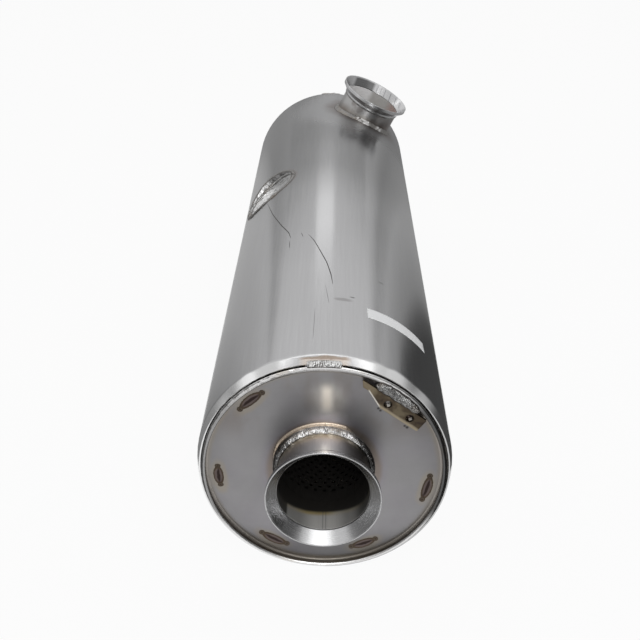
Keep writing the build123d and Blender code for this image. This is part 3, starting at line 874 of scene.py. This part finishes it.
def weld(joint, lines, material, crown, pitch, ripple, lumps, closed=True, across=12, bow=0.5, seed=0,
         calm=None, wet=None):
    """Bead between two toe lines, domed away from a corner line, with ripples and lumps along it.

    calm gives each step's share of the roughness; without it the bead is rough all along.
    wet gives the width and height of the smooth swelling beyond the second toe, and each step's share of it.
    """
    corner, toe_a, toe_b = lines
    steps = len(corner)
    middle = (toe_a + toe_b) / 2
    out = unit(middle - corner)
    gone = np.r_[0, np.cumsum(np.linalg.norm(np.diff(middle, axis=0), axis=1))]
    calm = np.ones(steps) if calm is None else calm
    ends = np.ones(steps)
    if not closed:
        width = np.linalg.norm(toe_a - toe_b, axis=1).mean() / 2
        ends = np.clip(np.minimum(gone, gone[-1] - gone) / width, 0, 1) ** 0.4
    columns = across + 2 + (WET_STEPS if wet else 0)
    points, relief = np.zeros((steps, columns, 3)), np.full((steps, columns), 0.5)
    for i in range(steps):
        for j in range(across + 1):
            u = j / across
            dome = sin(pi * u)
            wave = abs(sin(pi * (gone[i] / pitch + bow * (2 * u - 1) ** 2))) ** 0.7
            flat = toe_a[i] * (1 - u) + toe_b[i] * u
            start = flat + seed * NOISE_STEP
            rough = fractal(start, 0.35 / pitch) + 0.5 * fractal(start + NOISE_STEP, 1.3 / pitch)
            bulge = crown * dome + dome**0.5 * calm[i] * (ripple * (wave - 0.5) + lumps * rough)
            top = flat + out[i] * max(bulge, 0)
            points[i, j] = corner[i] + (top - corner[i]) * ends[i]
            edge = min(1, 6 * min(u, 1 - u))
            relief[i, j] = (0.5 + 0.5 * calm[i] * (0.6 * (2 * wave - 1) + rough)) * edge
    toe = np.zeros((steps, columns))
    if wet:
        reach, height, amount = wet
        side, lift = unit(toe_b - corner), unit(toe_a - corner)
        for k in range(across + 1, columns - 1):
            share = (k - across) / WET_STEPS
            place = side * reach * share + lift * height * sin(pi * share) ** 0.7
            points[:, k] = toe_b + place * (0.1 + 0.9 * amount[:, None])
            relief[:, k] = 1
            toe[:, k] = min(1, 2 * share) * amount
    points[:, -1] = corner
    faces = grid_faces(steps, columns, closed, True)
    if not closed:
        faces += [tuple(range(columns))[::-1], tuple((steps - 1) * columns + j for j in range(columns))]
    mesh_piece(f"{joint}_bead", points.reshape(-1, 3), faces, material, f"{joint}_weld",
               {"relief": relief.ravel(), "toe": toe.ravel()})


def mirror_y(points):
    """The same place at the can's other end."""
    turned = np.array(points, float)
    turned[:, 1] = CAN_LENGTH - turned[:, 1]
    return turned


def weld_both_ends(joint, lines, material, seeds, **shape):
    weld(f"front_{joint}", lines, material, seed=seeds[0], **shape)
    weld(f"rear_{joint}", [mirror_y(line) for line in lines], material, seed=seeds[1], **shape)


def steps_for(length, spacing=0.55):
    return max(int(length / spacing), 12)


def turns_from(middle, count):
    """Even steps round a circle, each as -180 to 180 degrees from the middle angle."""
    return (360 * np.arange(count) / count - middle + 180) % 360 - 180


def ramp(values, start, end):
    """0 at start and 1 at end, straight between."""
    return np.clip((values - start) / (end - start), 0, 1)


def fillet(circle, count, radius, height, out, along):
    """Lines of a bead in a corner: the corner, the toe that lies out from it, and the toe along it."""
    places = ((radius, height), (radius + out, height), (radius, height + along))
    return [circle(*place, count) for place in places]


def rim_beads(material):
    """Fused edge between the shell and each end plate, rough only at the upper left."""
    count = steps_for(2 * pi * SHELL_R, 1.2)
    outer, inner = SHELL_R + 0.05, SHELL_R - RIM_BEAD_LEG - RIM_BEAD_IN
    wide = ramp(np.abs(turns_from(0, count)), 78, 48)
    calm = 0.12 + 0.88 * ramp(np.abs(turns_from(RIM_ROUGH_AT, count)), 42, 28)
    lines = [ring((outer + inner) / 2, RIM_BASE + 0.8, count), ring(inner, RIM_BASE, count),
             ring(outer, RIM_BASE, count) + RIM_SPREAD * wide[:, None] * ring(1, 0, count)]
    weld_both_ends("rim", lines, material, (0, 3), crown=1.5, pitch=2.6, ripple=0.4, lumps=0.6, calm=calm)


def inlet_bead(material):
    """Bead with a smooth swelling beyond its toe at the top."""
    count = steps_for(2 * pi * TUBE_R)
    turns = turns_from(0, count)
    amount = ramp(turns, 38, 24) * ramp(turns, -85, -55)
    corner, out, along = fillet(ring, count, TUBE_R, PLATE_FRONT, INLET_TOE, -INLET_LEG)
    weld("inlet", [corner, along, out], material, crown=1.2, pitch=2.1, ripple=1.1, lumps=1.6, bow=0.8,
         wet=(WET_REACH, WET_HEIGHT, amount))


def flange_beads(material):
    count = steps_for(2 * pi * TUBE_R, 0.8)
    shape = {"crown": 0.5, "pitch": 2.2, "ripple": 0.3, "lumps": 0.3}
    inlet = fillet(ring, count, TUBE_R, FLANGE_HIGH.y, FLANGE_LEG_OUT, FLANGE_LEG)
    outlet = fillet(OUTLET.circle, count, TUBE_R, OUTLET_FLANGE_BACK, FLANGE_LEG_OUT, -FLANGE_LEG)
    weld("inlet_flange", inlet, material, **shape)
    weld("outlet_flange", outlet, material, seed=2, **shape)


def outlet_bead(material):
    count = steps_for(2 * pi * TUBE_R)
    corner = OUTLET.saddle(TUBE_R, 0, count)
    lines = [corner, corner + OUTLET.axis * OUTLET_LEG, OUTLET.saddle(TUBE_R + OUTLET_LEG, 0.05, count)]
    weld("outlet", lines, material, crown=0, pitch=3, ripple=0.3, lumps=0.7, seed=5, bow=0.8)


def port_beads(material, inner_material):
    count = steps_for(2 * pi * PORT_R)
    places = ((PORT_R, -1), (PORT_R - PORT_BAND / 2, 0), (PORT_R + PORT_BAND / 2, 0))
    outer = [PORT.saddle(*place, count) for place in places]
    inner = fillet(PORT.circle, count, PORT_BORE, -BLANK_SAG, -BLANK_LEG, BLANK_LEG)
    weld("port", outer, material, crown=1.6, pitch=3.4, ripple=0.9, lumps=1.2, seed=7, bow=0.8)
    weld("blank", inner, inner_material, crown=0.8, pitch=3, ripple=0.6, lumps=0.7, seed=9)


def stitch_beads(material):
    """Short rough bead that ties the jacket's lip to the rim at the top of each end."""
    count = steps_for(STITCH_LENGTH, 0.45)
    lip = JACKET_LOW.y
    lines = [ring(SHELL_R + out, lip + along, count, STITCH_START, STITCH_SWEEP)
             for out, along in ((0.8, 1.5), (1, -3), (5.4, 4.2))]
    weld_both_ends("stitch", lines, material, (11, 13), crown=2, pitch=2.3, ripple=0.8, lumps=1.2,
                   closed=False)


def bracket_bead(material):
    """Bead with cross ripples that fills the gap between the bracket's outer edge and the rim."""
    start, end = BRACKET_BEAD
    along = np.linspace(start, end, steps_for(end - start, 0.45))
    edge = np.sqrt((SHELL_R - RIM_BEAD_LEG - RIM_BEAD_IN) ** 2 - along**2)
    uneven = np.array([fractal((300, 0, v), 0.13) for v in along]) * BRACKET_BEAD_UNEVEN
    inner = BRACKET_OUTER - 0.4 + uneven

    def line(radius, behind):
        places = along[:, None] * tangent(BRACKET_ANGLE) + radius[:, None] * radial(BRACKET_ANGLE)
        places[:, 1] = BRACKET_FRONT + behind
        return places

    lines = [line((inner + edge) / 2, 2), line(inner, -0.1), line(edge + 2.2 + uneven[::-1], -0.7)]
    weld("bracket", lines, material, crown=1.4, pitch=1.9, ripple=1.5, lumps=1.4, closed=False, bow=0.15,
         across=24, seed=15)


def fusion_height(along, across):
    """Height of a fusion mark over the end plate, or nothing beyond its outline."""
    edge = hypot(along / FUSION_HALF, 2 * across / FUSION_WIDTH)
    dot = hypot(abs(along) - FUSION_HALF, across) / FUSION_DOT
    if edge > 1 and dot > 1:
        return None
    lens = exp(-(((edge - 0.85) / 0.12) ** 2)) + 0.35 * max(1 - edge, 0)
    slot = exp(-((across / 1.2) ** 2)) * max(1 - (along / 11) ** 2, 0)
    ring_wall = exp(-(((dot - 0.8) / 0.15) ** 2))
    return FUSION_HEIGHT * min(max(0.12, 0.2 + 0.7 * lens - 0.6 * slot, 0.8 * ring_wall), 1)


def fusion_marks(material):
    """Lens with a slot along it and a dot at each end, where the end plate is fused to the plate behind."""
    half = int((FUSION_HALF + FUSION_DOT) / FUSION_CELL) + 1
    side = int(FUSION_WIDTH / 2 / FUSION_CELL) + 1
    heights = {(i, j): fusion_height(i * FUSION_CELL, j * FUSION_CELL)
               for i in range(-half, half + 1) for j in range(-side, side + 1)}
    kept = [key for key, height in heights.items() if height is not None]
    number = {key: n for n, key in enumerate(kept)}
    quads = [[(i, j), (i + 1, j), (i + 1, j + 1), (i, j + 1)] for i, j in kept]
    tops = [[number[key] for key in quad] for quad in quads if all(key in number for key in quad)]
    points, faces = [], []
    for k, (shift, twist, size) in enumerate(FUSION_MARKS):
        faces += [tuple(len(points) + n for n in face) for face in tops]
        for i, j in kept:
            turn = degrees(i * FUSION_CELL * size / FUSION_R) + twist
            place = radial(FUSION_START - FUSION_PITCH * k + turn) * (FUSION_R + shift + j * FUSION_CELL)
            place[1] = PLATE_FRONT - heights[i, j]
            points.append(place)
    along, across = np.tile(np.array(kept).T * FUSION_CELL, len(FUSION_MARKS))
    values = {"along": along, "across": across}
    mesh_piece("front_fusion_marks", points, faces, material, "front_fusion_welds", values)
    mesh_piece("rear_fusion_marks", mirror_y(points), [face[::-1] for face in faces], material,
               "rear_fusion_welds", values)


def diffuser(material):
    """The perforated tube behind the inlet: an outer and an inner skin with round holes."""
    turns = 2 * pi * (np.arange(HOLE_SIDES) + 0.5) / HOLE_SIDES
    round_edge = np.stack([np.cos(turns), np.sin(turns)], 1)
    square_edge = round_edge / np.abs(round_edge).max(1)[:, None]
    pitch = 360 / HOLES_PER_ROW
    start, end = DIFFUSER_LOW.y, DIFFUSER_HIGH.y
    first = start + HOLE_FIRST_ROW - HOLE_ROW_PITCH / 2
    last = first + HOLE_ROWS * HOLE_ROW_PITCH
    points, faces = [], []

    def add(places, radius, cell_faces, inward):
        """Part of a skin from places given as angle and station."""
        base = len(points)
        for angle, station in places:
            points.append(radial(angle) * radius + [0, station, 0])
        for face in cell_faces:
            faces.append(tuple(base + n for n in (face[::-1] if inward else face)))

    plain, holed = grid_faces(2, 2), grid_faces(2, HOLE_SIDES, closed_columns=True)
    for radius, inward in ((DIFFUSER_HIGH.x, False), (DIFFUSER_HIGH.x - DIFFUSER_WALL, True)):
        hole_edge = round_edge * [degrees(HOLE_R / radius), HOLE_R]
        for k in range(HOLES_PER_ROW):
            left, right = pitch * k, pitch * (k + 1)
            for band in ((start, first), (last, end)):
                add([(angle, station) for station in band for angle in (left, right)], radius, plain, inward)
            for row in range(HOLE_ROWS):
                middle = [(left + right + pitch * (row % 2)) / 2, first + (row + 0.5) * HOLE_ROW_PITCH]
                cell = np.concatenate([square_edge * [pitch / 2, HOLE_ROW_PITCH / 2], hole_edge]) + middle
                add(cell, radius, holed, inward)
    mesh_piece("perforated_tube", points, faces, material, "diffuser_tube")


def sticker(material):
    """Bare label laid on the jacket, thin and closed."""
    rows, columns = (cells + 1 for cells in STICKER_CELLS)
    first, second, third, fourth = np.array(STICKER)
    sheet = np.linspace(np.linspace(first, second, columns), np.linspace(fourth, third, columns), rows)
    points = [on_jacket(angle, station, height) for height in STICKER_HEIGHTS
              for angle, station in sheet.reshape(-1, 2)]
    count = rows * columns
    top = grid_faces(rows, columns)
    bottom = [tuple(count + n for n in face[::-1]) for face in top]
    numbers = np.arange(count).reshape(rows, columns)
    rim = np.r_[numbers[0], numbers[1:, -1], numbers[-1, -2::-1], numbers[-2:0:-1, 0]].tolist()
    walls = [(here, before, before + count, here + count) for here, before in zip(rim, rim[-1:] + rim[:-1])]
    mesh_piece("bare_sticker", points, top + bottom + walls, material)


def scratches(material):
    """Thin dark strips along the scratches on the jacket."""
    count = SCRATCH_STEPS
    share = np.linspace(0, 1, count)
    faces = grid_faces(2, count)
    for name, (width, route) in SCRATCHES.items():
        knots = np.array(route) * [radians(JACKET_R), 1]
        line = np.stack([np.interp(share, np.linspace(0, 1, len(knots)), knots[:, k]) for k in range(2)], 1)
        for _ in range(4):
            line[1:-1] = (line[:-2] + 2 * line[1:-1] + line[2:]) / 4
        run = unit(np.gradient(line, axis=0))
        across = np.stack([-run[:, 1], run[:, 0]], 1)
        half = width / 2 * np.sqrt(np.sin(np.pi * np.clip(share, 0.02, 0.98)))[:, None]
        edges = np.concatenate([line - across * half, line + across * half])
        points = [on_jacket(degrees(arc / JACKET_R), station, SCRATCH_HEIGHT) for arc, station in edges]
        mesh_piece(name, points, faces, material)


# What the CAD nodes wear

def dress_nodes():
    """Gives each node its finish; a node that isn't named here is dull sheet."""
    dull, cast, inner_dark = dull_steel(), blank_steel(), inner_dark_steel()
    wool = fibre("blanket_fibre", (0.62, 0.6, 0.54))
    mat = fibre("mat_fibre", (0.5, 0.46, 0.4))
    wear = {
        "jacket": jacket_steel(),
        "inner_shell": shell_steel(),
        "front_end_plate": end_steel("end_steel_front", True),
        "rear_end_plate": end_steel("end_steel_rear", False),
        "inlet_tube": inlet_tube_steel(),
        "outlet_tube": outlet_tube_steel(),
        "inlet_flange": flange_steel(),
        "outlet_flange": flange_steel(OUTLET),
        "diffuser_cap": inner_dark,
        "front_heat_shield": inner_dark,
        "catalyst_front_ring": inner_dark,
        "port_collar": cast,
        "port_blank": cast,
        "bracket_plate": bracket_steel(),
        "bracket_nuts": nut_steel(),
        "insulation_blanket": wool,
        "front_end_insulation": wool,
        "rear_end_insulation": wool,
        "catalyst_mat": mat,
        "filter_mat": mat,
        "catalyst_brick": honeycomb("catalyst_ceramic", (0.36, 0.3, 0.22), CATALYST_FACE),
        "filter_brick": honeycomb("filter_ceramic", (0.42, 0.38, 0.31)),
    }
    for name, node in frame["nodes"].items():
        node.data.materials.clear()
        node.data.materials.append(wear.get(name, dull))


# Stage, lights and camera

FLOOR_Z = JACKET_LOW.z
FLOOR_REACH = 30000
FLOOR_WHITE = 0.93
FLAG_GAP = 2
DOME_R = 9000
WORLD_FILL = 0.44
CAMERA_AT = (16.1, -843.6, 646.4)
CAMERA_YAW = 1.25
CAMERA_PITCH = -28.45
CAMERA_ROLL = -0.6
CAMERA_LENS = 54.47
SENSOR = 36

# Each lamp: place, what it points at, size, and power in watts
LAMPS = {
    "front_top": ((200, -1250, 2200), (0, 0, 0), (1600, 900), 7),
    "front_window": ((300, -3200, 2250), (0, 0, 50), (1600, 850), 31),
    "back_top": ((100, 1750, 2550), (0, 100, 100), (3600, 280), 6),
    "window": ((-120, 4200, 1710), (0, 500, 100), (620, 360), 0.52),
}

# Tone of the studio walls by height as a share of the radius, beyond the can and behind the camera
WALLS_BEYOND = [(0, 0.42), (0.2, 0.42), (0.27, 0.54), (0.33, 0.88), (0.42, 0.98), (0.52, 1.05),
                (0.75, 1.05), (1, 0.8)]
WALLS_NEAR = [(0, 0.25), (0.1, 0.4), (0.33, 0.85), (0.42, 1), (0.65, 1), (1, 0.8)]

# Tone of each card along the can
RIGHT_TONES = [(0, 0.1), (460, 0.08), (540, 0.14), (640, 0.38), (850, 0.48), (1000, 0.52), (1100, 0.44),
               (1400, 0.34), (1750, 0.44)]
LEFT_TONES = [(-200, 0.22), (250, 0.3), (400, 0.5), (600, 0.62), (1000, 0.66), (1250, 0.66), (1500, 0.42),
              (2200, 0.42)]
RIGHT_FLOOR_TONE = 0.14
LEFT_FLOOR_TONE = 0.22


def camera():
    data = bpy.data.cameras.new("camera")
    data.sensor_width = SENSOR
    data.lens = CAMERA_LENS
    data.clip_start, data.clip_end = 0.01, 100
    view = new_object("camera", data)
    view.location = Vector(CAMERA_AT) * MM
    turn = Matrix.Identity(4)
    for angle, axis in ((CAMERA_YAW, "Z"), (90 + CAMERA_PITCH, "X"), (CAMERA_ROLL, "Z")):
        turn = turn @ Matrix.Rotation(radians(angle), 4, axis)
    view.rotation_euler = turn.to_euler()
    scene.camera = view


def world():
    """White to the camera and in reflections; dimmer as light."""
    studio_world = bpy.data.worlds.new("studio")
    scene.world = studio_world
    nodes = Nodes(studio_world)
    nodes.tree.nodes.clear()
    strength = nodes.map_range(nodes.seen_rays(), (0, 1), (WORLD_FILL, 1))
    sky = nodes.add("Background", {"Color": (1, 1, 1, 1), "Strength": strength})
    nodes.add("OutputWorld", {0: sky.outputs[0]})


def stage_piece(name, corners, material):
    piece = mesh_object(name, corners, [(0, 1, 2, 3)], material)
    return piece


def floor():
    """White floor: plain paint as light, whitened where it is seen, so that only the shadow shows."""
    material = bpy.data.materials.new("floor_paint")
    nodes = Nodes(material)
    nodes.tree.nodes.clear()
    paint = nodes.add("BsdfDiffuse", {"Color": (0.9, 0.9, 0.9, 1)})
    white = nodes.add("Emission", {"Strength": 1})
    share = nodes.seen_rays() * FLOOR_WHITE
    mix = nodes.add("MixShader", {0: share, 1: paint.outputs[0], 2: white.outputs[0]})
    nodes.add("OutputMaterial", {0: mix.outputs[0]})
    signs = ((-1, -1), (1, -1), (1, 1), (-1, 1))
    corners = [(x * FLOOR_REACH, y * FLOOR_REACH, FLOOR_Z) for x, y in signs]
    stage_piece("floor", corners, material)


class Glow(Look):
    """Surface that glows by its own strength and that only reflections see."""

    def __init__(self, name):
        super().__init__(name, (0, 0, 0))
        self.tree.nodes.remove(self.bsdf)
        emission = self.add("Emission", {})
        self.strength = emission.inputs["Strength"]
        out = next(node for node in self.tree.nodes if node.bl_idname == "ShaderNodeOutputMaterial")
        self.feed(out.inputs[0], emission.outputs[0])

    def profile(self, value, stops):
        """Straight lines between (value, result) stops; one stop is the result everywhere."""
        result = stops[0][1]
        for (start, low), (end, high) in zip(stops, stops[1:]):
            result = result + self.map_range(value, (start, end), (0, high - low))
        return result


def only_in_reflections(piece):
    piece.visible_camera = False
    piece.visible_diffuse = False
    piece.visible_shadow = False
    piece.visible_transmission = False


def dome():
    """Studio walls that only reflections see: pale beyond the can, dimmer behind the camera."""
    bpy.ops.mesh.primitive_uv_sphere_add(radius=DOME_R * MM, segments=48, ring_count=24)
    piece = bpy.context.object
    piece.name = "studio_walls"
    glow = Glow("studio_walls")
    side = abs(glow.x) / DOME_R
    up = glow.z / DOME_R - 0.018 + side.fade(0.12, 0.42) * 0.075
    beyond, near = glow.profile(up, WALLS_BEYOND), glow.profile(up, WALLS_NEAR)
    glow.feed(glow.strength, near + (beyond - near) * (glow.y / DOME_R).fade(-0.1, 0.35))
    piece.data.materials.append(glow.material)
    only_in_reflections(piece)


def card(name, corners, tones, climb=0, panel=0):
    """Tone by its stops along the can, more with height; a panel is brighter beside the can's near end."""
    glow = Glow(name)
    tone = glow.profile(glow.y, tones) * (0.86 + glow.z * (climb * MM))
    near_end = glow.y.band(70, 80, 120) * glow.z.fade(20, 140)
    beside_lip = glow.y.band(360, 180, 140) * glow.z.fade(180, 360)
    glow.feed(glow.strength, tone + near_end * panel + beside_lip * 0.95)
    only_in_reflections(stage_piece(name, corners, glow.material))


def flags():
    """Cards beside the can and on the floor before it, seen only in reflections."""
    low = FLOOR_Z + FLAG_GAP
    near, far, floor_end = -1600, 2600, 50
    card("right_flag", [(200, near, low), (200, far, low), (850, far, 900), (850, near, 900)], RIGHT_TONES,
         climb=1.2, panel=0.9)
    card("left_flag", [(-220, near, low), (-900, near, 750), (-900, far, 750), (-220, far, low)], LEFT_TONES,
         climb=0.8, panel=0.65)
    for name, left, right, tone in (("right_floor_flag", 170, 1500, RIGHT_FLOOR_TONE),
                                    ("left_floor_flag", -1500, -200, LEFT_FLOOR_TONE)):
        corners = [(left, -1500, low), (right, -1500, low), (right, floor_end, low), (left, floor_end, low)]
        card(name, corners, [(0, tone)])


def lights():
    for name, (place, target, size, power) in LAMPS.items():
        data = bpy.data.lights.new(name, "AREA")
        data.shape = "RECTANGLE"
        data.size, data.size_y = (side * MM for side in size)
        data.energy = power
        lamp = new_object(name, data)
        lamp.location = Vector(place) * MM
        lamp.rotation_mode = "QUATERNION"
        lamp.rotation_quaternion = (Vector(target) - Vector(place)).to_track_quat("-Z", "Y")
        lamp.visible_camera = False


def build():
    dress_nodes()
    grey = weld_steel("grey_bead_steel", (0.38, 0.38, 0.375), (0.08, 0.07, 0.065))
    rim_beads(rim_steel())
    inlet_bead(weld_steel("bead_steel", (0.86, 0.855, 0.85), hollows=0.75))
    flange_beads(grey)
    outlet_bead(weld_steel("plain_bead_steel", (0.25, 0.243, 0.235), (0.13, 0.115, 0.1), 0.35, glint_dashes=True))
    port_beads(weld_steel("port_bead_steel", (0.22, 0.215, 0.21), hollows=0.6), grey)
    stitch_beads(weld_steel("stitch_bead_steel", (0.6, 0.6, 0.595)))
    bracket_bead(grey)
    fusion_marks(fusion_steel())
    diffuser(inner_dark_steel())
    sticker(sticker_paper())
    scratches(scratch_mark())
    scene.view_settings.view_transform = "Standard"
    camera()
    world()
    floor()
    dome()
    flags()
    lights()


build()
bpy.context.view_layer.update()
